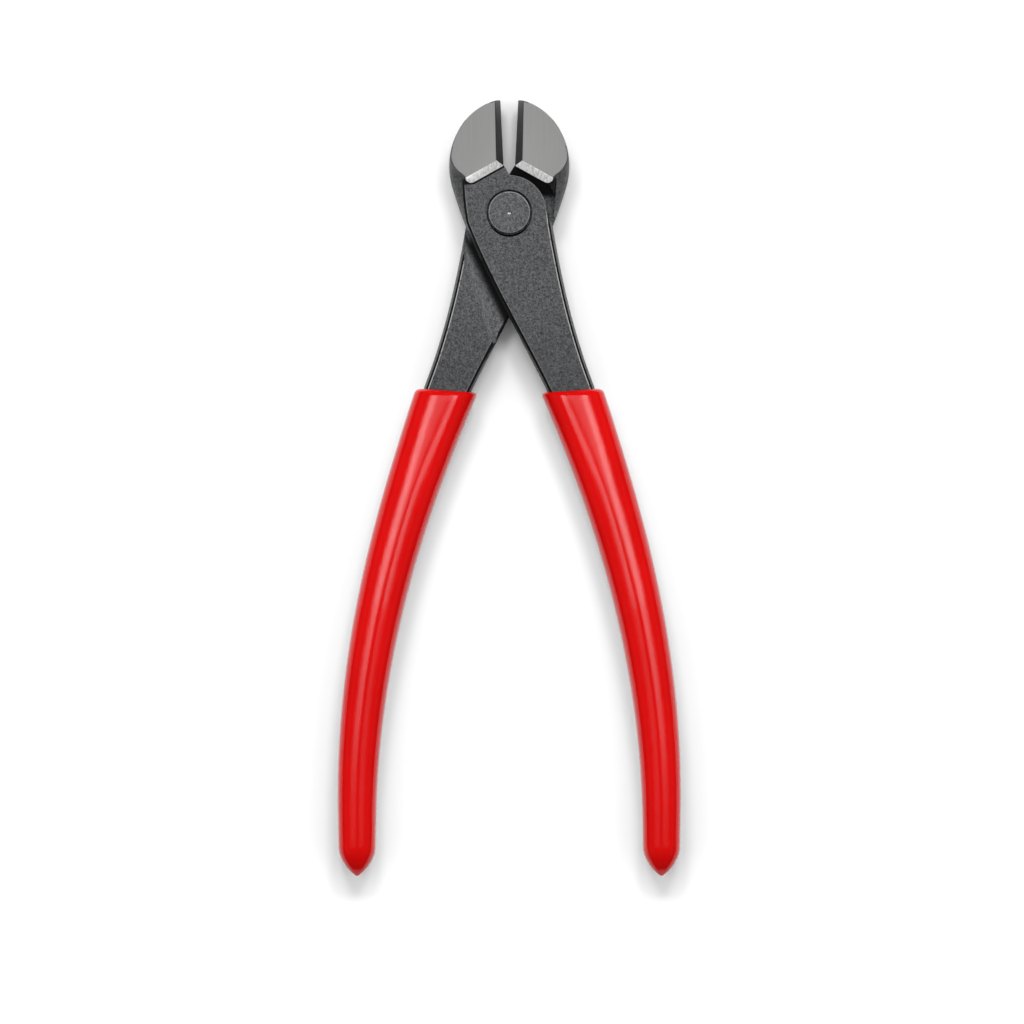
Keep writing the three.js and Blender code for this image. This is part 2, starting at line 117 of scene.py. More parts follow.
# Way up the neck's side at the joint face's outer corner
CORNER_WAY = Vector((-0.07, 1, 0))

# Where the handles' worn outer edges begin, in radii of the sinking, and how worn other black edges are
WEAR_START = 1.5
FAINT_WEAR = 0.33

# Creases that stay sharp on the levers and on the rivet
LEVER_CREASE = math.radians(35)
RIVET_CREASE = math.radians(50)

# How much brighter worn edges of ground steel are, and the most that they reach
WORN_TONE = 1.15
WORN_LIMIT = 0.95

# How light the dust in the grooves is, against their scale
DUST_TONE = 2.5

# Values of the grain between which its high spots come up
HIGH_SPOTS = (0.36, 0.66)

# How dark the oxide is on the tangs, and between which heights from the pivot it darkens
TANG_TONE = 0.8
TANG_FADE = (-0.045, -0.02)

# Heights from the pivot between which the recess below a shoulder turns black as painted shade
RECESS_SHADE = (0.0035, 0.0048)

# Way square to the edge of the lever that crosses over a pocket, aside and down from the pivot, with the
# reaches along it and the heights from the pivot between which the painted shadow beside that edge fades
CROSSING = (0.902, 0.432)
CROSSING_REACH = (0.0126, 0.0147)
CROSSING_FADE = (-0.0085, -0.0055)

# Heights from the joint's middle between which a pocket turns from its floor's painted shade to its ramp's
# tone
RAMP_FADE = (0.0006, 0.0042)

# How light a pocket's floor and ramp are, against the oxide: painted light that evens out the pocket's
# shade
FLOOR_TONE = 1.35
RAMP_TONE = 1.5

# Outline of a rivet's centre mark, in radii of the mark: foot and top of its burr, its edge and its floor
MARK_OUTLINE = (2.2, 1.25, 0.9, 0.25)

# How bright the painted highlight on the rivet's rim is, and how much more so where it faces the jaws
RIM_GLINT = (0.22, 0.2)

# First ring of a grip's drip point: its distance from the end and its share of the section
TIP_BACK = 0.0001
TIP_SWELL = 0.05

# What is left of a ring's spacing at the end of the drip point
TIP_FLAT = 0.25

# Lamps that light the scene, and level panels that only show in its gloss
Lamp = namedtuple("Lamp", ("place", "size", "in_gloss"))
SOFT_BOX = Lamp((0, 0.15, 1.1), (2.4, 2.4), False)
SIDE_BOX = Lamp((0.85, 0, 0.75), (1.8, 0.9), False)
KEY_LAMP = Lamp((0.2, 0.72, 0.9), (0.3, 0.3), False)
SKY_PANEL = Lamp((0, 0.0775, 1.0), (0.227, 0.165), True)
STRIP_OUT = 0.152
STRIP_WIDTH = 0.071

# Stretches of a strip lamp along the tool, from the handles to the jaws, and how strong each is
STRIP_PARTS = (
    (-0.135, -0.102, 0.06), (-0.102, -0.069, 0.3), (-0.069, -0.036, 0.52), (-0.036, -0.003, 0.74),
    (-0.003, 0.03, 0.9), (0.03, 0.16, 1.0),
)

# World, as it lights the scene and as the camera sees it past the floor
WORLD_LIGHT = (0.08, 0.08, 0.08)
WORLD_SEEN = (0.95, 0.95, 0.95)

# How far the floor lies below the tool
FLOOR_DROP = 0.0001

# Fineness of round stretches
CENTRELINE_STEPS = 40
QUARTER_STEPS = 12
FLAT_STEPS = 16
RING_STEPS = 4 * QUARTER_STEPS + 2 * FLAT_STEPS
GRIP_RINGS = 44
CAVITY_RINGS = 12
NOSE_RINGS = 12
LIP_RINGS = 5
TURN_STEPS = 96


def number(name, description, default, **options):
    """Property for a plain number, or for one with a unit or subtype."""
    return FloatProperty(name=name, description=description, default=default, **options)


def length(*about):
    """Property for a size in metres."""
    return number(*about, unit="LENGTH", precision=5)


def angle(name, description, degrees):
    """Property for an angle."""
    return number(name, description, math.radians(degrees), subtype="ANGLE")


def share(*about):
    """Property for a share from none to all."""
    return number(*about, min=0, max=1, subtype="FACTOR")


def power(*about):
    """Property for a lamp's power."""
    return number(*about, min=0, unit="POWER")


def colour(name, description, default):
    """Property for a colour."""
    return FloatVectorProperty(
        name=name, description=description, default=default, size=3, min=0, max=1, subtype="COLOR"
    )


def group(name, kind):
    """Property for a group of settings, described as the group is."""
    return PointerProperty(type=kind, name=name, description=kind.__doc__)


class LeverSizes(bpy.types.PropertyGroup):
    """Where the finishes of a lever meet, and how its edges are broken"""

    shoulder_angle: angle("Shoulder angle", "Slant of the jaw's shoulder across the lever", 29)
    shoulder_reach: length("Shoulder reach", "Pivot to the near edge of the shoulder", 0.0115)
    shoulder_width: length("Shoulder width", "Width of the bright shoulder", 0.0018)
    groove_width: length("Groove width", "Width of the groove below the shoulder", 0.00075)
    shoulder_lip: length("Shoulder lip", "Overhang of the shoulder's near edge over the groove", 0.00035)
    lip_fade: length("Lip fade", "Width of the shoulder over which the lip dies away", 0.0011)
    corner_rise: length("Corner rise", "Reach of the joint face's corner up beside the shoulder", 0.00124)
    corner_out: length("Corner out", "Pivot to where that corner begins, across the tool", 0.01)
    throat_reach: length("Throat reach", "Pivot to the bottom of the jaw mouth", 0.0122)
    strip_reach: length("Strip reach", "Middle of the tool to the far side of a cutting strip", 0.0048)
    face_height: length("Face height", "Middle of the joint to the lowest place of an outer face", 0.0032)
    edge_break: length("Edge break", "Width of the rounding along the sharp edges", 0.0002)
    joint_half: length("Joint half", "Half thickness of the joint", 0.0053)
    tang_end_half: length("Tang end half", "Half thickness at the end of the tang", 0.0034)
    taper_start: length("Taper start", "Pivot to where the tang begins to thin", 0.012)
    taper_end: length("Taper end", "Pivot to the end of the tang", 0.164)
    groove_end: length("Groove end", "Pivot to where the flanks' groove runs out on the neck", 0.0087)
    pocket_reach: length("Pocket reach", "Pivot to where the pocket comes out in the crotch", 0.022)
    pocket_edge: length("Pocket edge", "Width of the dark edge of the pocket", 0.0008)
    sunk_radius: length("Sunk radius", "Radius of the sinking for the rivet's head", 0.0058)
    sunk_spread: length("Sunk spread", "How far the sinking's edge opens towards the handles", 0.0005)


class GripSizes(bpy.types.PropertyGroup):
    """Path and sections of a dipped grip, from the middle of its rim"""

    rim_out: length("Rim out", "Middle of the tool to the middle of the rim", 0.0161)
    rim_back: length("Rim back", "Pivot to the middle of the rim", 0.046)
    rim_tilt: angle("Rim tilt", "Slant of the rim across the tool", 4)
    rim_blend: length("Rim blend", "Length over which the slant of the rim dies away", 0.025)
    handle_angle: angle("Handle angle", "Angle of the handle at the rim from straight back", 20.9)
    bend_length: length("Bend length", "Length over which the handle comes straight", 0.112)
    bend_power: number("Bend power", "How late the handle bends", 1.35)
    grip_length: length("Grip length", "Rim to nose along the handle", 0.1284)
    rim_width: length("Rim width", "Width at the rim", 0.0147)
    end_width: length("End width", "Width at the nose", 0.0093)
    end_thickness: length("End thickness", "Thickness at the nose", 0.0102)
    level_length: length("Level length", "Length of even thickness behind the rim", 0.058)
    nose_length: length("Nose length", "Length of the drip point", 0.0072)
    nose_fullness: number("Nose fullness", "How late the drip point narrows", 1.8)
    nose_roundness: number("Nose roundness", "How blunt the drip point is", 0.8)
    lip_round: length("Lip rounding", "Rounding of the rim's outer edge", 0.0012)
    wall: length("Wall", "Thickness of the coat beside the tang", 0.0015)
    mouth_half: length("Mouth half thickness", "Half thickness of the tang at the rim", 0.00493)
    mouth_end_half: length("Tang end half thickness", "Half thickness of the tang at its end", 0.0035)
    mouth_flat: share("Mouth flat", "Part of the inside's half width that is flat", 0.6)
    mouth_fullness: number("Mouth fullness", "Squareness of the inside's corners", 4)
    mouth_spread: length("Mouth spread", "How much wider the inside is at the lip", 0.0002)
    tang_gap: length("Tang gap", "End of the tang to the end of the inside", 0.0003)
    facet_length: length("Facet length", "Length of the broad facet behind the rim", 0.028)
    rim_flare: length("Rim flare", "How far each side flares at the rim", 0.0004)
    flare_length: length("Flare length", "Length over which the flare dies away", 0.045)
    rim_flat: share("Rim flat", "Part of the half width outside the ridge that is crowned at the rim", 0.5)
    outer_flat: share("Outer flat", "Part outside the ridge that is crowned past the facet", 0.42)
    inner_flat: share("Inner flat", "Part inside the ridge that is crowned", 0.44)
    rim_fullness: number("Rim fullness", "Squareness of the outer side at the rim", 3.0)
    outer_fullness: number("Outer fullness", "Squareness of the outer side past the facet", 2.6)
    inner_fullness: number("Inner fullness", "Squareness of the inner side", 2.4)
    outer_crown: length("Outer crown", "Radius of the top's outer slope", 0.04)
    inner_crown: length("Inner crown", "Radius of the top's inner slope", 0.035)
    outer_slope: angle("Outer slope", "Slope outwards from the ridge", 1.9)
    inner_slope: angle("Inner slope", "Slope inwards from the ridge", 3.9)
    ridge_round: length("Ridge rounding", "Half width over which the ridge is rounded", 0.00022)


class RivetSizes(bpy.types.PropertyGroup):
    """Shape of the rivet's heads"""

    shank_radius: length("Shank radius", "Radius of the pin between the heads", 0.0035)
    head_depth: length("Head depth", "Height of a head", 0.003)
    rim_drop: length("Rim drop", "Fall of the head's face at its rim", 0.00006)
    rim_break: length("Rim break", "Width of the rounding at the rim", 0.00022)
    mark_radius: length("Centre mark radius", "Radius of the centre mark", 0.00055)
    mark_depth: length("Centre mark depth", "Depth of the centre mark", 0.0005)
    burr: length("Burr", "Height of the burr round the centre mark", 0.00005)


class Colours(bpy.types.PropertyGroup):
    """Colours of the finishes"""

    oxide: colour("Black oxide", "Forged faces of the levers", (0.037, 0.0375, 0.039))
    oxide_light: colour("Oxide high spots", "High spots of the forged grain", (0.147, 0.149, 0.154))
    bare_steel: colour("Bare steel", "Edges worn through the oxide", (0.42, 0.42, 0.415))
    ground: colour("Ground steel", "Ground faces of the jaws", (0.306, 0.306, 0.303))
    # The shoulders' bright colour is ground steel, lightened further as a painted reflection
    shoulder: colour("Bright shoulder", "Ground shoulders below the jaws", (0.86, 0.86, 0.85))
    strip: colour("Cutting strip", "Hardened strips beside the cutting edges", (0.068, 0.068, 0.07))
    # The groove colour is near black: real scale and dirt, deepened into painted shade in the grooves and
    # hollows
    groove: colour("Groove", "Dirt and scale in the grooves", (0.004, 0.004, 0.0045))
    grip: colour("Grip", "Dipped vinyl of the grips", (0.605, 0.002, 0.002))
    grip_deep: colour("Grip shade", "Thicker coat in the slow drifts of colour", (0.57, 0.0015, 0.0015))
    grip_cast: colour("Grip cast", "What the grips throw on the floor", (0.3, 0.27, 0.27))
    floor: colour("Floor", "Plain pale floor", (0.93, 0.93, 0.93))


class StageSizes(bpy.types.PropertyGroup):
    """Camera, lamps and floor"""

    frame_width: length("Frame width", "Width of the picture on the floor", 0.2642)
    frame_x: length("Frame X", "Middle of the picture, across", 0.0007)
    frame_y: length("Frame Y", "Middle of the picture, along", -0.00625)
    camera_height: length("Camera height", "Height of the camera over the floor", 0.6)
    floor_size: length("Floor size", "Width of the floor", 6.0)
    soft_power: power("Soft box", "Wide soft light from above", 9.7)
    side_power: power("Side boxes", "Soft light from each side", 5.2)
    key_power: power("Key lamps", "Smaller lamps beyond the jaws", 4.6)
    sky_power: power("Sky panel", "Panel over the tool that shows in its gloss", 0.25)
    strip_power: power("Strip lamps", "Each metre of the strips that show in the gloss", 1.99)


class CutterSettings(bpy.types.PropertyGroup):
    """All that the wire cutter's operators read"""

    lever: group("Levers", LeverSizes)
    grip: group("Grips", GripSizes)
    rivet: group("Rivet", RivetSizes)
    colours: group("Colours", Colours)
    stage: group("Stage", StageSizes)


def clamp(value, low=0.0, high=1.0):
    return min(max(value, low), high)


def lerp(start, end, part):
    return start + (end - start) * part


def smooth(value):
    value = clamp(value)
    return value * value * (3 - 2 * value)


# Shader nodes

def fill(tree, socket, value):
    """Links a socket, or sets a value, on an input."""
    if isinstance(value, bpy.types.NodeSocket):
        tree.links.new(value, socket)
    else:
        socket.default_value = value


def add(tree, kind, inputs=None, **options):
    """Adds a node, sets its options and fills its inputs."""
    made = tree.nodes.new(kind)
    for name, value in options.items():
        setattr(made, name, value)
    for name, value in (inputs or {}).items():
        fill(tree, made.inputs[name], value)
    return made


def mix_colour(tree, factor, first, second):
    made = add(tree, "ShaderNodeMix", data_type="RGBA")
    for name, value in (("Factor_Float", factor), ("A_Color", first), ("B_Color", second)):
        fill(tree, next(s for s in made.inputs if s.identifier == name), value)
    return next(s for s in made.outputs if s.identifier == "Result_Color")


def between(tree, value, low, high, to_low=0.0, to_high=1.0):
    """Value eased from one range to another."""
    made = add(tree, "ShaderNodeMapRange", interpolation_type="SMOOTHSTEP", inputs={
        "Value": value, "From Min": low, "From Max": high, "To Min": to_low, "To Max": to_high,
    })
    return made.outputs["Result"]


def reckon(tree, operation, first, second):
    made = add(tree, "ShaderNodeMath", operation=operation, inputs={0: first, 1: second})
    return made.outputs["Value"]


def new_group(name, inputs, outputs):
    """Empty shader node group with float sockets, and its inside ends."""
    group = bpy.data.node_groups.new(name, "ShaderNodeTree")
    for label, default in inputs:
        socket = group.interface.new_socket(label, in_out="INPUT", socket_type="NodeSocketFloat")
        socket.default_value = default
    for label in outputs:
        group.interface.new_socket(label, in_out="OUTPUT", socket_type="NodeSocketFloat")
    return group, group.nodes.new("NodeGroupInput"), group.nodes.new("NodeGroupOutput")


def object_place(tree):
    return add(tree, "ShaderNodeTexCoord").outputs["Object"]


def forged_grain():
    """Uneven pitted grain of a forged and blackened surface."""
    group, given, result = new_group("Forged Grain", [("Scale", 1500), ("Fine", 0.4)], ["Grain"])
    place = object_place(group)
    coarse = add(group, "ShaderNodeTexNoise", inputs={
        "Vector": place, "Scale": given.outputs["Scale"],
        "Detail": 3, "Roughness": 0.6, "Distortion": 1.2,
    })
    fine_scale = reckon(group, "MULTIPLY", given.outputs["Scale"], 3.4)
    fine = add(group, "ShaderNodeTexNoise", inputs={
        "Vector": place, "Scale": fine_scale, "Detail": 2, "Roughness": 0.7,
    })
    both = add(group, "ShaderNodeMix", data_type="FLOAT", inputs={
        0: given.outputs["Fine"], 2: coarse.outputs["Fac"], 3: fine.outputs["Fac"],
    })
    group.links.new(both.outputs[0], result.inputs["Grain"])
    return group


def edge_wear_and_glint():
    """Broken line along the edges that are marked on the mesh: real wear, and painted glints on the rivet.
    """
    group, given, result = new_group("Edge Wear And Glint", [("Scale", 900), ("Amount", 0.5)], ["Mask"])
    edge = add(group, "ShaderNodeAttribute", attribute_name="edge").outputs["Fac"]
    patches = add(group, "ShaderNodeTexNoise", inputs={
        "Vector": object_place(group), "Scale": given.outputs["Scale"], "Detail": 3, "Roughness": 0.65,
    })
    bare = reckon(group, "SUBTRACT", 1.0, given.outputs["Amount"])
    start = between(group, bare, 0, 1, 0.3, 0.66)
    end = reckon(group, "ADD", start, 0.12)
    worn = between(group, patches.outputs["Fac"], start, end)
    group.links.new(reckon(group, "MULTIPLY", edge, worn), result.inputs["Mask"])
    return group


def grinding_marks():
    """Fine parallel scratches along the tool."""
    group, given, result = new_group("Grinding Marks", [("Scale", 4000), ("Stretch", 30)], ["Marks"])
    parts = add(group, "ShaderNodeSeparateXYZ", inputs={0: object_place(group)})
    drawn_out = reckon(group, "DIVIDE", parts.outputs["Y"], given.outputs["Stretch"])
    place = add(group, "ShaderNodeCombineXYZ", inputs={"X": parts.outputs["X"], "Y": drawn_out})
    marks = add(group, "ShaderNodeTexNoise", inputs={
        "Vector": place.outputs[0], "Scale": given.outputs["Scale"], "Detail": 4, "Roughness": 0.6,
    })
    group.links.new(marks.outputs["Fac"], result.inputs["Marks"])
    return group


def shared(tree, name, output, **values):
    """Output of a shared effect, which is built when it is first used."""
    makers = {"Forged Grain": forged_grain, "Edge Wear And Glint": edge_wear_and_glint, "Grinding Marks": grinding_marks}
    group = bpy.data.node_groups.get(name) or makers[name]()
    made = add(tree, "ShaderNodeGroup", node_tree=group)
    for label, value in values.items():
        made.inputs[label].default_value = value
    return made.outputs[output]


def new_material(name):
    """Material with an empty node tree but for its shader, which is returned with the tree."""
    made = bpy.data.materials.new(name)
    made.use_nodes = True
    tree = made.node_tree
    tree.nodes.clear()
    shader = tree.nodes.new("ShaderNodeBsdfPrincipled")
    output = tree.nodes.new("ShaderNodeOutputMaterial")
    tree.links.new(shader.outputs["BSDF"], output.inputs["Surface"])
    return made, tree, shader


def feed(tree, shader, **sockets):
    """Fills the shader's inputs of those names."""
    for name, value in sockets.items():
        fill(tree, shader.inputs[name.replace("_", " ")], value)


def bump(tree, height, distance, strength):
    made = add(tree, "ShaderNodeBump", inputs={
        "Height": height, "Distance": distance, "Strength": strength,
    })
    return made.outputs["Normal"]


def rgba(value):
    return (*value, 1.0)


def toned(tone, base_colour):
    return rgba([min(channel * tone, 1) for channel in base_colour])


def oxide_finish(name, colours, bare, scale, wear, tone=1.0):
    """Blackened forging with pitted grain, worn bright along its edges; a tone below one darkens it as
    painted shade.
    """
    made, tree, shader = new_material(name)
    grain = shared(tree, "Forged Grain", "Grain", Scale=scale, Fine=0.3)
    # The mask is edge wear on the levers, and painted glints on the rivet
    worn = shared(tree, "Edge Wear And Glint", "Mask", Scale=1100, Amount=wear)
    along = add(tree, "ShaderNodeSeparateXYZ", inputs={0: object_place(tree)}).outputs["Y"]
    joint = between(tree, along, *(PIVOT.y + height for height in TANG_FADE))
    low, high = (
        mix_colour(tree, joint, toned(TANG_TONE * tone, each), toned(tone, each))
        for each in (colours.oxide, colours.oxide_light)
    )
    spotted = mix_colour(tree, between(tree, grain, *HIGH_SPOTS), low, high)
    base = mix_colour(tree, worn, spotted, rgba(bare))
    feed(
        tree, shader, Base_Color=base, Metallic=0.3, Specular_IOR_Level=0.3,
        Roughness=between(tree, grain, 0.35, 0.7, 0.58, 0.42),
        Normal=bump(tree, grain, 0.00012, 0.35),
    )
    return made


def ground_finish(name, base_colour, scale, stretch, roughness, contrast):
    """Ground steel with scratches along the tool."""
    made, tree, shader = new_material(name)
    marks = shared(tree, "Grinding Marks", "Marks", Scale=scale, Stretch=stretch)
    worn = shared(tree, "Edge Wear And Glint", "Mask", Scale=700, Amount=0.85)
    dark = toned(1 - contrast, base_colour)
    light = toned(1 + contrast, base_colour)
    scratched = mix_colour(tree, between(tree, marks, 0.3, 0.7), dark, light)
    bright = [min(channel * WORN_TONE, WORN_LIMIT) for channel in base_colour]
    base = mix_colour(tree, worn, scratched, rgba(bright))
    feed(
        tree, shader, Base_Color=base, Metallic=0.5,
        Roughness=between(tree, marks, 0.3, 0.7, roughness * 0.9, roughness * 1.1),
        Normal=bump(tree, marks, 0.00003, 0.25),
    )
    return made


def groove_finish(colours):
    """Dull scale and dirt in the grooves, near black as painted shade of the grooves' hollows."""
    made, tree, shader = new_material("groove_scale_and_painted_shade")
    grain = shared(tree, "Forged Grain", "Grain", Scale=2500, Fine=0.5)
    dusty = toned(DUST_TONE, colours.groove)
    base = mix_colour(tree, between(tree, grain, 0.4, 0.7), rgba(colours.groove), dusty)
    feed(tree, shader, Base_Color=base, Roughness=0.85, Normal=bump(tree, grain, 0.0001, 0.3))
    return made


def recess_finish(colours):
    """Scale in the recesses and pockets: grey lightened against their shade, with near-black painted shade
    below the shoulders and beside the crossing.
    """
    made, tree, shader = new_material("recess_scale_and_painted_shade")
    grain = shared(tree, "Forged Grain", "Grain", Scale=1300, Fine=0.3)
    parts = add(tree, "ShaderNodeSeparateXYZ", inputs={0: object_place(tree)})
    height = reckon(tree, "ABSOLUTE", reckon(tree, "SUBTRACT", parts.outputs["Z"], PIVOT.z), 0)
    above = reckon(tree, "SUBTRACT", parts.outputs["Y"], PIVOT.y)
    # Where the crossing lever's edge lies in the rest pose, for a painted shadow beside it
    aside = reckon(tree, "MULTIPLY", reckon(tree, "ABSOLUTE", parts.outputs["X"], 0), CROSSING[0])
    reach = reckon(tree, "SUBTRACT", aside, reckon(tree, "MULTIPLY", above, CROSSING[1]))
    by_crossing = between(tree, reach, *CROSSING_REACH, 1, 0)
    under_joint = between(tree, above, *CROSSING_FADE, 1, 0)
    crotch = reckon(tree, "MULTIPLY", by_crossing, under_joint)
    # Painted shade below the shoulders, added to that painted shadow
    painted_shade = reckon(tree, "ADD", between(tree, above, *RECESS_SHADE), crotch)
    spots = between(tree, grain, *HIGH_SPOTS)
    # A darker copy for the floor and a lighter one for the ramp, both lighter than the oxide as painted
    # light
    dim, lit = (
        mix_colour(tree, spots, toned(tone, colours.oxide), toned(tone, colours.oxide_light))
        for tone in (FLOOR_TONE, RAMP_TONE)
    )
    # The painted shade takes the near-black groove colour
    floor = mix_colour(tree, painted_shade, dim, rgba(colours.groove))
    # The floor stays darker than the ramp, as painted shade by depth
    base = mix_colour(tree, between(tree, height, *RAMP_FADE), floor, lit)
    feed(tree, shader, Base_Color=base, Roughness=0.8, Normal=bump(tree, grain, 0.0001, 0.3))
    return made


def grip_finish(colours):
    """Smooth dipped vinyl with slow drifts of colour and a faint ripple in its gloss."""
    made, tree, shader = new_material("dipped_vinyl")
    place = object_place(tree)
    drift = add(tree, "ShaderNodeTexNoise", inputs={"Vector": place, "Scale": 60, "Detail": 2})
    ripple = add(tree, "ShaderNodeTexNoise", inputs={"Vector": place, "Scale": 420, "Detail": 2})
    drifted = between(tree, drift.outputs["Fac"], 0.35, 0.65)
    red = mix_colour(tree, drifted, rgba(colours.grip), rgba(colours.grip_deep))
    # The photograph's floor has no red cast, so the floor is lit by a grey grip
    path = add(tree, "ShaderNodeLightPath")
    base = mix_colour(tree, path.outputs["Is Diffuse Ray"], red, rgba(colours.grip_cast))
    feed(
        tree, shader, Base_Color=base, IOR=1.38,
        Roughness=between(tree, ripple.outputs["Fac"], 0.3, 0.7, 0.1, 0.125),
        Normal=bump(tree, ripple.outputs["Fac"], 0.00008, 0.012),
    )
    return made


# Meshes

def new_object(name, data):
    made = bpy.data.objects.new(name, data)
    bpy.context.scene.collection.objects.link(made)
    return made


def new_mesh(name, bm, materials):
    """Object with the mesh of a bmesh, which is freed."""
    mesh = bpy.data.meshes.new(name)
    bm.to_mesh(mesh)
    bm.free()
    for material in materials:
        mesh.materials.append(material)
    return new_object(name, mesh)


def new_piece(name, bm, materials, body, slot, *nodes):
    """Finishes a bmesh as a smooth piece at the origin that rides on a body and stands for CAD nodes."""
    piece = new_mesh(name, bm, materials)
    piece.data.shade_smooth()
    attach(piece, body)
    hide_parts(*nodes)
    return piece


def break_edges(bm, edges, width, segments, **options):
    """Bevels edges and returns the new faces."""
    made = bmesh.ops.bevel(
        bm, geom=edges, offset=width, offset_type="OFFSET", affect="EDGES", segments=segments,
        profile=0.5, material=-1, **options,
    )
    return made["faces"]


def even_normals(piece, sharp):
    """Keeps flat faces flat next to rounded edges, and creases sharper than an angle sharp."""
    piece.data.set_sharp_from_angle(angle=sharp)
    weighted = piece.modifiers.new("even_normals", "WEIGHTED_NORMAL")
    weighted.keep_sharp = True


def half_turn(lower):
    """From a piece drawn about the pivot for the upper half to its place in the frame."""
    return Matrix.Translation(PIVOT) @ (TURNED_OVER if lower else Matrix.Identity(4))


def lever_half(sizes, y):
    """Half thickness of a lever beside its jaw, at a height over the pivot."""
    thinning = clamp((-y - sizes.taper_start) / (sizes.taper_end - sizes.taper_start))
    return lerp(sizes.joint_half, sizes.tang_end_half, thinning)


def reach_along(place, sizes):
    """How far a place or direction reaches square to the shoulder."""
    return place.y * math.cos(sizes.shoulder_angle) - place.x * math.sin(sizes.shoulder_angle)


def lever_finish(face, inward, sizes):
    """Which finish a face of a lever has, from its place and slope about the pivot."""
    normal = inward.to_3x3() @ face.normal
    place = inward @ face.calc_center_median()
    along = reach_along(place, sizes)
    height = abs(place.z)
    level = abs(normal.z)
    is_level = level > MOSTLY_LEVEL
    outer = is_level and height > sizes.face_height
    beside_mouth = place.y > sizes.throat_reach and place.x > -sizes.strip_reach
    if beside_mouth and not is_level and normal.x > FACING:
        return STRIP
    if outer and along > sizes.shoulder_reach + sizes.shoulder_width:
        return GROUND
    if outer and along > sizes.shoulder_reach and height > sizes.joint_half:
        return SHOULDER
    if height < sizes.face_height and (is_level or level > SLOPING and place.y < RAMP_TOP):
        return RECESS
    below_shoulder = -sizes.groove_width < along - sizes.shoulder_reach < sizes.edge_break
    slanted = not is_level and abs(reach_along(normal, sizes)) > SLANTED
    # The walls at the foot of the shoulder take the near-black groove finish, painted shade under the
    # shoulder's lip
    if below_shoulder and slanted and height > sizes.face_height:
        return GROOVE
    sunk = height < sizes.joint_half - sizes.edge_break
    # Sunk and leftover patches beside the jaw are near black as painted shade
    if outer and place.y > 0 and (sunk or face.calc_area() < SLIVER):
        return GROOVE
    from_pivot = place.xy.length
    by_rivet = from_pivot < sizes.sunk_radius + sizes.sunk_spread
    # The sinking's walls round the rivet's head are near black as painted shade of the gap
    if by_rivet and sunk and height > SINKING_RISE * sizes.face_height:
        return GROOVE
    rise = height / lever_half(sizes, place.y)
    beside_face = GROOVE_RISE[0] < rise < GROOVE_RISE[1] and place.y < sizes.groove_end
    # The groove along the face's edge is near black: scale, deepened into painted shade
    if beside_face and from_pivot > sizes.sunk_radius + sizes.edge_break:
        return GROOVE
    if is_level:
        return OXIDE
    # The inner flanks of the tangs get the darkest flank tone, painted shade beside the crotch
    return INNER_FLANK if place.y < -sizes.taper_start and normal.x < 0 else FLANK


def sharp_edges(bm):
    """Convex sharp edges."""
    return [
        edge for edge in bm.edges
        if len(edge.link_faces) == 2 and edge.calc_face_angle_signed() >= SHARP_EDGE
    ]


def borders(edge, finish):
    return any(face.material_index == finish for face in edge.link_faces)


def outer_edges(bm, inward, sizes):
    """Sharp edges round the outer faces and jaws of a lever."""
    found = []
    for edge in sharp_edges(bm):
        lowest = min(abs((inward @ vert.co).z) for vert in edge.verts)
        if lowest > sizes.face_height or borders(edge, STRIP):
            found.append(edge)
    return found


def pocket_edges(bm, inward, sizes):
    """Sharp edges of the pocket's floor beyond the joint."""
    found = []
    for edge in sharp_edges(bm):
        places = [inward @ vert.co for vert in edge.verts]
        on_floor = all(abs(place.z) < sizes.pocket_edge for place in places)
        beyond = all(place.y < -sizes.pocket_reach for place in places)
        if on_floor and beyond and borders(edge, RECESS):
            found.append(edge)
    return found


def faces_beside(face):
    return {other for edge in face.edges for other in edge.link_faces}


def move_details(bm, inward, sizes):
    """Opens the rivet's sinking, hangs a lip on the shoulder and draws up the joint face's outer corner."""
    outward = inward.to_3x3().inverted()
    near_way = Vector((math.sin(sizes.shoulder_angle), -math.cos(sizes.shoulder_angle), 0))
    near_wall = sizes.shoulder_reach - sizes.groove_width
    for vert in bm.verts:
        out = vert.co - PIVOT
        at_face = abs(abs(out.z) - sizes.joint_half) < ON_FACE
        # The sinking opens towards the handles so that its near-black wall shows there as a painted shadow
        # crescent below the rivet's head
        if at_face and abs(out.xy.length - sizes.sunk_radius) < ON_ROUND:
            opening = sizes.sunk_spread * max(0, -out.y / sizes.sunk_radius) ** 2
            vert.co.xy += out.xy.normalized() * opening
        if any(face.material_index == SHOULDER for face in vert.link_faces):
            past = reach_along(inward @ vert.co, sizes) - sizes.shoulder_reach
            lip = sizes.shoulder_lip * clamp(1 - past / sizes.lip_fade)
            vert.co += outward @ near_way * lip
        place = inward @ vert.co
        at_wall = abs(reach_along(place, sizes) - near_wall) < ON_WALL
        if at_wall and abs(place.z) > sizes.face_height and place.x < -sizes.corner_out:
            vert.co += outward @ CORNER_WAY * sizes.corner_rise


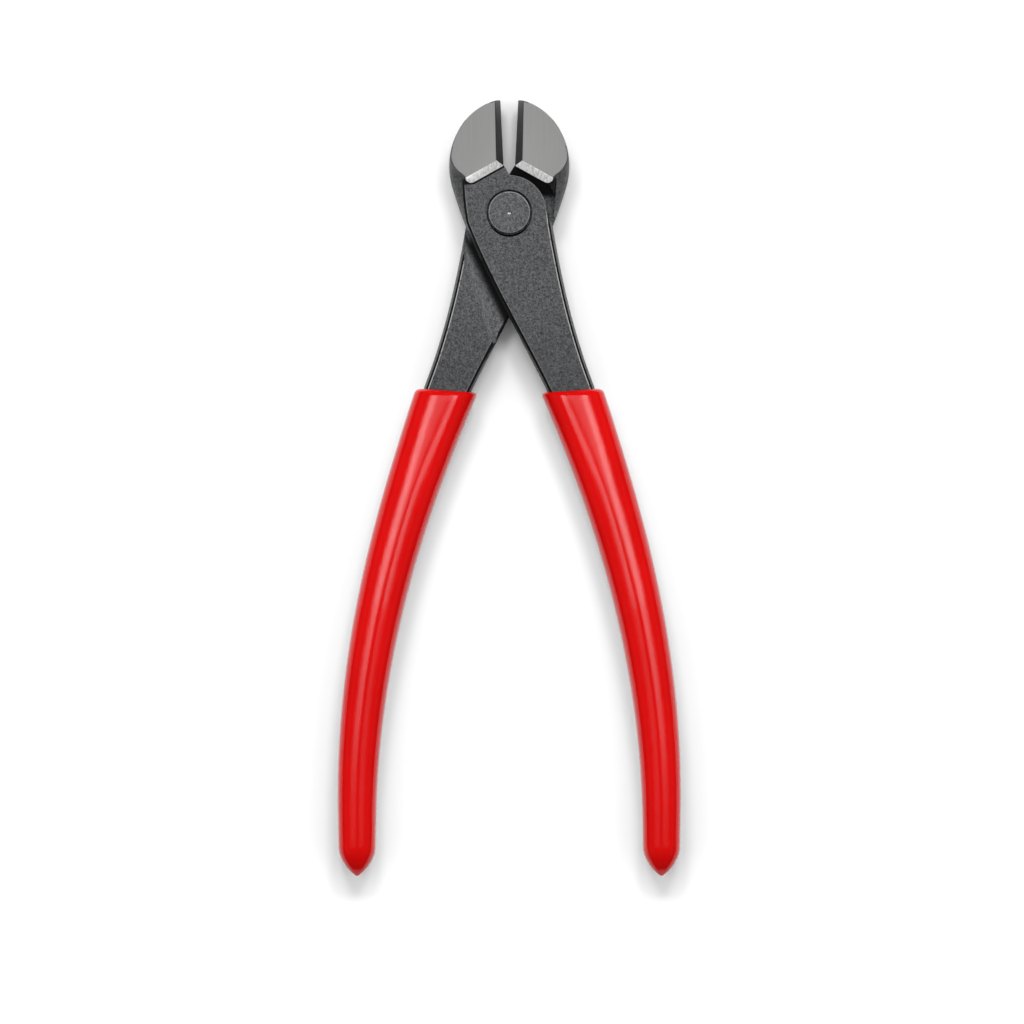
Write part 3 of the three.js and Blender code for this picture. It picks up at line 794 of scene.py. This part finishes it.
def mark_wear(rounded, wear_and_glint_mark, inward, sizes):
    """Gives rounded edges the finish of the outer face they border, and marks how much they are worn."""
    faces = set(rounded)
    bordering = []
    for face in rounded:
        beside = faces_beside(face) - faces
        outer = [other.material_index for other in beside if abs(other.normal.z) > MOSTLY_LEVEL]
        if outer:
            face.material_index = min(outer)
            bordering.append(face)
    for face in bordering:
        if face.material_index in (GROUND, SHOULDER):
            for other in faces_beside(face) & faces - set(bordering):
                other.material_index = face.material_index
    for face in rounded:
        place = inward @ face.calc_center_median()
        if face.material_index == GROUND and place.x > -sizes.strip_reach - sizes.edge_break:
            face.material_index = STRIP
    for face in bordering:
        around = {other for vert in face.verts for other in vert.link_faces}
        place = inward @ face.calc_center_median()
        sunk = place.xy.length < sizes.sunk_radius + sizes.sunk_spread + 2 * sizes.edge_break
        from_shoulder = sizes.shoulder_reach - reach_along(place, sizes)
        by_shoulder = 0 < from_shoulder < sizes.groove_width + 2 * sizes.edge_break
        by_recess = any(other.material_index == RECESS for other in around)
        if not (sunk or by_shoulder or by_recess or face.material_index == STRIP):
            face[wear_and_glint_mark] = FAINT_WEAR if face.material_index == OXIDE else 1
    for face in rounded:
        place = inward @ face.calc_center_median()
        on_face = abs(place.z) > lever_half(sizes, place.y) - sizes.edge_break
        outwards = (inward.to_3x3() @ face.normal).x > EDGE_FACING
        on_handle = place.y < 0 and place.xy.length > WEAR_START * sizes.sunk_radius
        if on_face and outwards and on_handle:
            face.material_index = OXIDE
            face[wear_and_glint_mark] = 1


class CUTTER_OT_levers(bpy.types.Operator):
    """Dress the two forged levers"""

    bl_idname = "cutter.levers"
    bl_label = "Levers"

    def execute(self, context):
        settings = context.scene.wire_cutter
        colours = settings.colours
        bare = colours.bare_steel
        finishes = [
            oxide_finish("black_oxide", colours, bare, scale=1900, wear=0.85),
            ground_finish(
                "ground_jaw", colours.ground, scale=3500, stretch=60, roughness=0.42, contrast=0.05
            ),
            # The bright shoulder's colour holds a painted reflection besides the ground steel
            ground_finish(
                "bright_shoulder", colours.shoulder, scale=1900, stretch=2.5, roughness=0.42, contrast=0.3
            ),
            ground_finish(
                "cutting_strip", colours.strip, scale=5000, stretch=25, roughness=0.5, contrast=0.2
            ),
            groove_finish(colours),
            recess_finish(colours),
            # The flanks are toned darker as painted shade, and the inner flanks of the tangs darker still
            oxide_finish("flank_painted_shade_oxide", colours, bare, scale=1500, wear=0.4, tone=0.6),
            oxide_finish("inner_flank_painted_shade_oxide", colours, bare, scale=1500, wear=0.4, tone=0.2),
        ]
        halves = (("upper_lever", "upper_half", False), ("lower_lever", "lower_half", True))
        for node, body, lower in halves:
            bm = self.forging(node, lower, settings.lever)
            piece = new_piece(f"{node}_forging", bm, finishes, body, "lever_steel", node)
            even_normals(piece, LEVER_CREASE)
        return {"FINISHED"}

    @staticmethod
    def forging(node, lower, sizes):
        """Copy of the lever's solid with broken edges, its faces sorted by finish."""
        inward = half_turn(lower).inverted()
        bm = bmesh.new()
        bm.from_mesh(frame["nodes"][node].data)
        bmesh.ops.remove_doubles(bm, verts=bm.verts, dist=MERGED)
        bmesh.ops.dissolve_limit(
            bm, angle_limit=FLAT_TURN, verts=bm.verts, edges=bm.edges, use_dissolve_boundaries=False
        )
        bm.normal_update()
        for face in bm.faces:
            face.material_index = lever_finish(face, inward, sizes)
        move_details(bm, inward, sizes)
        bm.normal_update()
        solid = BVHTree.FromBMesh(bm)
        wear_and_glint_mark = bm.faces.layers.float.new("edge")
        # The pocket's broken edge beyond the joint takes the near-black groove finish, a painted shade line
        # along it
        for face in break_edges(bm, pocket_edges(bm, inward, sizes), sizes.pocket_edge, 1):
            face.material_index = GROOVE
        rounded = break_edges(
            bm, outer_edges(bm, inward, sizes), sizes.edge_break, 2, clamp_overlap=False, loop_slide=True
        )
        bm.normal_update()
        mark_wear(rounded, wear_and_glint_mark, inward, sizes)
        # Where short edges crowd, the rounding can shoot past the solid
        for vert in bm.verts:
            nearest, _, _, overshoot = solid.find_nearest(vert.co)
            if overshoot > sizes.edge_break:
                vert.co = nearest
        bmesh.ops.dissolve_degenerate(bm, dist=2 * MERGED, edges=bm.edges)
        bm.normal_update()
        return bm


class CUTTER_OT_rivet(bpy.types.Operator):
    """Dress the rivet that the levers turn on"""

    bl_idname = "cutter.rivet"
    bl_label = "Rivet"

    def execute(self, context):
        settings = context.scene.wire_cutter
        bm = self.turned(settings.rivet)
        colours = settings.colours
        # The rivet's marked faces take the shoulder's bright colour, as painted glints
        finish = oxide_finish("rivet_oxide", colours, colours.shoulder, scale=1900, wear=0.9, tone=1.2)
        piece = new_piece("rivet", bm, [finish], "lower_half", "rivet_steel", "pivot_rivet")
        even_normals(piece, RIVET_CREASE)
        return {"FINISHED"}

    @staticmethod
    def turned(sizes):
        """Pin with two heads, spun from its outline."""
        top = RIVET_HALF
        foot, burr, edge, floor = (radii * sizes.mark_radius for radii in MARK_OUTLINE)
        rim_height = top - sizes.rim_drop
        upper = [
            (sizes.shank_radius, top - sizes.head_depth),
            (RIVET_RADIUS, top - sizes.head_depth),
            (RIVET_RADIUS, rim_height),
            (foot, top),
            (burr, top + sizes.burr),
            (edge, top),
            (floor, top - sizes.mark_depth),
            (0, top - sizes.mark_depth),
        ]
        bm = bmesh.new()
        outline = [(x, -z) for x, z in reversed(upper)] + upper
        verts = [bm.verts.new((x, 0, z)) for x, z in outline]
        edges = [bm.edges.new(pair) for pair in zip(verts, verts[1:])]
        bmesh.ops.spin(
            bm, geom=verts + edges, cent=(0, 0, 0), axis=(0, 0, 1), angle=2 * math.pi,
            steps=TURN_STEPS, use_merge=True,
        )
        bmesh.ops.remove_doubles(bm, verts=bm.verts, dist=MERGED)
        bmesh.ops.recalc_face_normals(bm, faces=bm.faces)

        def on_rim(vert):
            at_rim = abs(abs(vert.co.z) - rim_height) < ON_FACE
            return at_rim and vert.co.xy.length > RIVET_RADIUS - ON_ROUND

        rim = [line for line in bm.edges if all(on_rim(vert) for vert in line.verts)]
        wear_and_glint_mark = bm.faces.layers.float.new("edge")
        rounded = break_edges(bm, rim, sizes.rim_break, 3)
        bm.normal_update()
        # Painted glint on the centre mark's wall that faces the jaws
        for face in bm.faces:
            if face.calc_center_median().xy.length < edge and face.normal.y > FACING:
                face[wear_and_glint_mark] = 1
        # Painted highlight round the rim, brighter on the side towards the jaws
        for face in rounded:
            face[wear_and_glint_mark] = clamp(RIM_GLINT[0] + RIM_GLINT[1] * face.normal.y)
        bmesh.ops.translate(bm, verts=bm.verts, vec=PIVOT)
        return bm


def handle_angle(sizes, distance):
    """Angle of the handle from straight back, at a distance from the rim."""
    bend = clamp(distance / sizes.bend_length) ** sizes.bend_power
    return sizes.handle_angle * (1 - bend)


def handle_place(sizes, distance):
    """Middle of the right handle at a distance from the rim, about the pivot."""
    step = distance / CENTRELINE_STEPS
    place = Vector((sizes.rim_out, -sizes.rim_back))
    for i in range(CENTRELINE_STEPS):
        heading = handle_angle(sizes, (i + 0.5) * step)
        place += step * Vector((math.sin(heading), -math.cos(heading)))
    return place


def grip_half_width(sizes, distance):
    return lerp(sizes.rim_width, sizes.end_width, distance / sizes.grip_length) / 2


def rim_flare(sizes, distance):
    return sizes.rim_flare * clamp(1 - distance / sizes.flare_length) ** 2


def grip_half_thickness(sizes, distance):
    straight = sizes.grip_length - sizes.nose_length
    thinning = clamp((distance - sizes.level_length) / (straight - sizes.level_length))
    return lerp(HALF_THICKNESS, sizes.end_thickness / 2, thinning)


# The falls are each a slope at the ridge and a curve
Section = namedtuple("Section", (
    "half_width", "half_thickness", "outer_flat", "inner_flat", "outer_fullness", "inner_fullness",
    "outer_fall", "inner_fall", "ridge_round",
))


def squared_quarter(turn, fullness):
    """Point of a squared quarter round, evenly spaced by its angle."""
    out = math.cos(turn)
    up = math.sin(turn)
    reach = (abs(out) ** fullness + abs(up) ** fullness) ** (-1 / fullness)
    return out * reach, up * reach


def section_point(step, shape):
    """Point of a grip's section: crowned above and below, with rounded outer and inner sides.

    The crowns run between two shares of the half width, counted outwards from the middle.
    """
    half_ring = RING_STEPS // 2
    upper = step if step <= half_ring else RING_STEPS - step
    outer_end = shape.outer_flat * shape.half_width
    inner_end = shape.inner_flat * shape.half_width
    if upper <= QUARTER_STEPS:
        out, up = squared_quarter(upper / QUARTER_STEPS * math.pi / 2, shape.outer_fullness)
        out = outer_end + (shape.half_width - outer_end) * out
    elif upper < QUARTER_STEPS + FLAT_STEPS:
        out = lerp(outer_end, inner_end, (upper - QUARTER_STEPS) / FLAT_STEPS)
        up = 1
    else:
        turn = (half_ring - upper) / QUARTER_STEPS * math.pi / 2
        out, up = squared_quarter(turn, shape.inner_fullness)
        out = inner_end - (shape.half_width + inner_end) * out
    slope, curve = shape.outer_fall if out > 0 else shape.inner_fall
    fall = slope * (math.hypot(out, shape.ridge_round) - shape.ridge_round) + out ** 2 * curve / 2
    return out, math.copysign(up * (shape.half_thickness - fall), half_ring - step)


class CUTTER_OT_grips(bpy.types.Operator):
    """Dip the two handles in vinyl"""

    bl_idname = "cutter.grips"
    bl_label = "Grips"

    def execute(self, context):
        settings = context.scene.wire_cutter
        finish = grip_finish(settings.colours)
        halves = (("right_grip", "upper_half", False), ("left_grip", "lower_half", True))
        for node, body, lower in halves:
            bm = self.dipped(settings.grip)
            bmesh.ops.transform(bm, matrix=half_turn(lower), verts=bm.verts)
            piece = new_piece(f"{node}_coat", bm, [finish], body, "grip", node)
            rounder = piece.modifiers.new("rounder", "SUBSURF")
            rounder.levels = rounder.render_levels = 1
        return {"FINISHED"}

    def dipped(self, sizes):
        """Coat from its drip point to the rim, over the lip and down the inside to the tang's end."""
        bm = bmesh.new()
        self.step_of = bm.verts.layers.int.new("step")
        circle = bmesh.ops.create_circle(bm, segments=RING_STEPS, radius=1, cap_ends=True, cap_tris=True)
        ring = [v for v in circle["verts"] if v.co.length > 0.5]
        centre = [v for v in circle["verts"] if v.co.length <= 0.5]
        ring.sort(key=lambda v: math.atan2(v.co.y, v.co.x) % (2 * math.pi))
        for i, vert in enumerate(ring):
            vert[self.step_of] = i
        straight = sizes.grip_length - sizes.nose_length
        edges = [e for e in bm.edges if all(v in ring for v in e.verts)]
        self.place(ring, self.section(sizes, sizes.grip_length - TIP_BACK, TIP_SWELL))
        for vert in centre:
            vert.co = sum((v.co for v in ring), Vector()) / len(ring)
        for i in range(1, NOSE_RINGS + 1):
            along = 1 - i / (NOSE_RINGS + TIP_FLAT)
            swell = (1 - along ** sizes.nose_fullness) ** sizes.nose_roundness
            distance = straight + sizes.nose_length * along
            edges = self.grow(bm, edges, self.section(sizes, distance, swell))
        for i in range(GRIP_RINGS):
            distance = lerp(straight, sizes.lip_round, i / GRIP_RINGS)
            edges = self.grow(bm, edges, self.section(sizes, distance, 1))
        for i in range(LIP_RINGS + 1):
            turn = i / LIP_RINGS * math.pi / 2
            back = sizes.lip_round * (1 - math.sin(turn))
            trim = sizes.lip_round * (1 - math.cos(turn))
            edges = self.grow(bm, edges, self.section(sizes, back, 1, trim))
        depth = straight + sizes.tang_gap
        for i in range(-1, CAVITY_RINGS + 1):
            distance = max(i, 0) / CAVITY_RINGS * depth
            edges = self.grow(bm, edges, self.cavity(sizes, distance, sizes.mouth_spread if i < 0 else 0))
        bmesh.ops.edgeloop_fill(bm, edges=edges)
        bmesh.ops.recalc_face_normals(bm, faces=bm.faces)
        return bm

    def grow(self, bm, edges, section):
        """Extrudes the open ring of edges and moves the new ring to a section."""
        made = bmesh.ops.extrude_edge_only(bm, edges=edges)["geom"]
        self.place([v for v in made if isinstance(v, bmesh.types.BMVert)], section)
        return [e for e in made if isinstance(e, bmesh.types.BMEdge)]

    def place(self, verts, section):
        for vert in verts:
            vert.co = section(vert[self.step_of])

    @staticmethod
    def across(sizes, distance, half_width):
        """Level direction across the grip, and the half width along it."""
        heading = handle_angle(sizes, distance)
        tilt = lerp(sizes.rim_tilt, heading, smooth(distance / sizes.rim_blend))
        return Vector((math.cos(tilt), math.sin(tilt))), half_width / math.cos(heading - tilt)

    def section(self, sizes, distance, swell, trim=0.0):
        """Outside of the coat at a distance from the rim, swollen by a share and trimmed all round."""
        reach = grip_half_width(sizes, distance) + rim_flare(sizes, distance)
        direction, half_width = self.across(sizes, distance, reach * swell - trim)
        run = clamp(distance / sizes.facet_length)
        shape = Section(
            half_width=half_width,
            half_thickness=grip_half_thickness(sizes, distance) * swell - trim,
            outer_flat=lerp(sizes.rim_flat, sizes.outer_flat, run),
            inner_flat=-sizes.inner_flat,
            outer_fullness=lerp(sizes.rim_fullness, sizes.outer_fullness, run),
            inner_fullness=sizes.inner_fullness,
            outer_fall=(math.tan(sizes.outer_slope) * run, 1 / sizes.outer_crown),
            inner_fall=(math.tan(sizes.inner_slope) * run, 1 / sizes.inner_crown),
            ridge_round=sizes.ridge_round,
        )
        return self.ring(handle_place(sizes, distance), direction, shape)

    def cavity(self, sizes, distance, spread):
        """Inside of the coat at a distance from the rim, spread by an amount."""
        reach = grip_half_width(sizes, distance) - sizes.wall
        direction, half_width = self.across(sizes, distance, reach)
        straight = sizes.grip_length - sizes.nose_length
        half_thickness = lerp(sizes.mouth_half, sizes.mouth_end_half, distance / straight)
        shape = Section(
            half_width=half_width + spread,
            half_thickness=half_thickness + spread,
            outer_flat=sizes.mouth_flat,
            inner_flat=-sizes.mouth_flat,
            outer_fullness=sizes.mouth_fullness,
            inner_fullness=sizes.mouth_fullness,
            outer_fall=(0, 0),
            inner_fall=(0, 0),
            ridge_round=0,
        )
        return self.ring(handle_place(sizes, distance), direction, shape)

    @staticmethod
    def ring(middle, direction, shape):
        """Function from a step of the ring to its place."""
        def point(step):
            out, up = section_point(step, shape)
            return Vector((*(middle + direction * out), up))

        return point


class CUTTER_OT_stage(bpy.types.Operator):
    """Set the floor, the lamps and the camera"""

    bl_idname = "cutter.stage"
    bl_label = "Stage"

    def execute(self, context):
        settings = context.scene.wire_cutter
        stage = settings.stage
        self.floor(settings)
        self.lamp("soft_box", SOFT_BOX, stage.soft_power)
        self.lamp("sky_panel", SKY_PANEL, stage.sky_power)
        for name, side in (("left", -1), ("right", 1)):
            self.lamp(f"{name}_box", SIDE_BOX, stage.side_power, side)
            self.lamp(f"{name}_key", KEY_LAMP, stage.key_power, side)
            for i, (start, end, strength) in enumerate(STRIP_PARTS):
                place = (STRIP_OUT, (start + end) / 2, SKY_PANEL.place[2])
                part = Lamp(place, (STRIP_WIDTH, end - start), True)
                self.lamp(f"{name}_strip_{i}", part, stage.strip_power * strength * (end - start), side)
        self.camera(context, stage)
        self.world(context)
        context.scene.view_settings.view_transform = "Standard"
        return {"FINISHED"}

    @staticmethod
    def floor(settings):
        made, tree, shader = new_material("pale_floor")
        pale = rgba(settings.colours.floor)
        feed(tree, shader, Base_Color=pale, Roughness=0.9, Specular_IOR_Level=0.1)
        bm = bmesh.new()
        bmesh.ops.create_grid(bm, x_segments=4, y_segments=4, size=settings.stage.floor_size / 2)
        bmesh.ops.translate(bm, verts=bm.verts, vec=(0, 0, CAD_BOX[0].z - FLOOR_DROP))
        floor = new_mesh("floor", bm, [made])

    @staticmethod
    def lamp(name, kind, watts, side=1):
        """Lamp turned to the tool, or level panel, on the right side or mirrored to the left."""
        light = bpy.data.lights.new(name, "AREA")
        light.shape = "RECTANGLE"
        light.size, light.size_y = kind.size
        light.energy = watts
        lamp = new_object(name, light)
        out, along, height = kind.place
        lamp.location = (side * out, along, height)
        if not kind.in_gloss:
            lamp.rotation_euler = (-lamp.location).to_track_quat("-Z", "Y").to_euler()
        lamp.visible_camera = False
        lamp.visible_glossy = kind.in_gloss
        lamp.visible_diffuse = not kind.in_gloss

    @staticmethod
    def camera(context, stage):
        lens = bpy.data.cameras.new("camera")
        lens.type = "ORTHO"
        lens.ortho_scale = stage.frame_width
        camera = new_object("camera", lens)
        camera.location = (stage.frame_x, stage.frame_y, stage.camera_height)
        context.scene.camera = camera

    @staticmethod
    def world(context):
        world = bpy.data.worlds.new("studio")
        world.use_nodes = True
        tree = world.node_tree
        tree.nodes.clear()
        path = add(tree, "ShaderNodeLightPath")
        seen = mix_colour(tree, path.outputs["Is Camera Ray"], rgba(WORLD_LIGHT), rgba(WORLD_SEEN))
        background = add(tree, "ShaderNodeBackground", inputs={"Color": seen})
        output = add(tree, "ShaderNodeOutputWorld")
        tree.links.new(background.outputs[0], output.inputs["Surface"])
        context.scene.world = world


class VIEW3D_PT_cutter(bpy.types.Panel):
    """Sizes and colours of the wire cutter, and the steps that build it"""

    bl_idname = "VIEW3D_PT_cutter"
    bl_label = "Wire cutter"
    bl_space_type = "VIEW_3D"
    bl_region_type = "UI"
    bl_category = "Wire cutter"

    def draw(self, context):
        settings = context.scene.wire_cutter
        for operator in OPERATORS:
            self.layout.operator(operator.bl_idname)
        for group in (settings.lever, settings.grip, settings.rivet, settings.colours, settings.stage):
            box = self.layout.box()
            for name in group.__annotations__:
                box.prop(group, name)


OPERATORS = (CUTTER_OT_levers, CUTTER_OT_rivet, CUTTER_OT_grips, CUTTER_OT_stage)
CLASSES = (
    LeverSizes, GripSizes, RivetSizes, Colours, StageSizes, CutterSettings, *OPERATORS, VIEW3D_PT_cutter,
)


def register():
    for each in CLASSES:
        bpy.utils.register_class(each)
    bpy.types.Scene.wire_cutter = group("Wire cutter", CutterSettings)


def unregister():
    del bpy.types.Scene.wire_cutter
    for each in reversed(CLASSES):
        bpy.utils.unregister_class(each)


def main():
    register()
    bpy.ops.cutter.levers()
    bpy.ops.cutter.rivet()
    bpy.ops.cutter.grips()
    bpy.ops.cutter.stage()


if __name__ == "__main__":
    main()
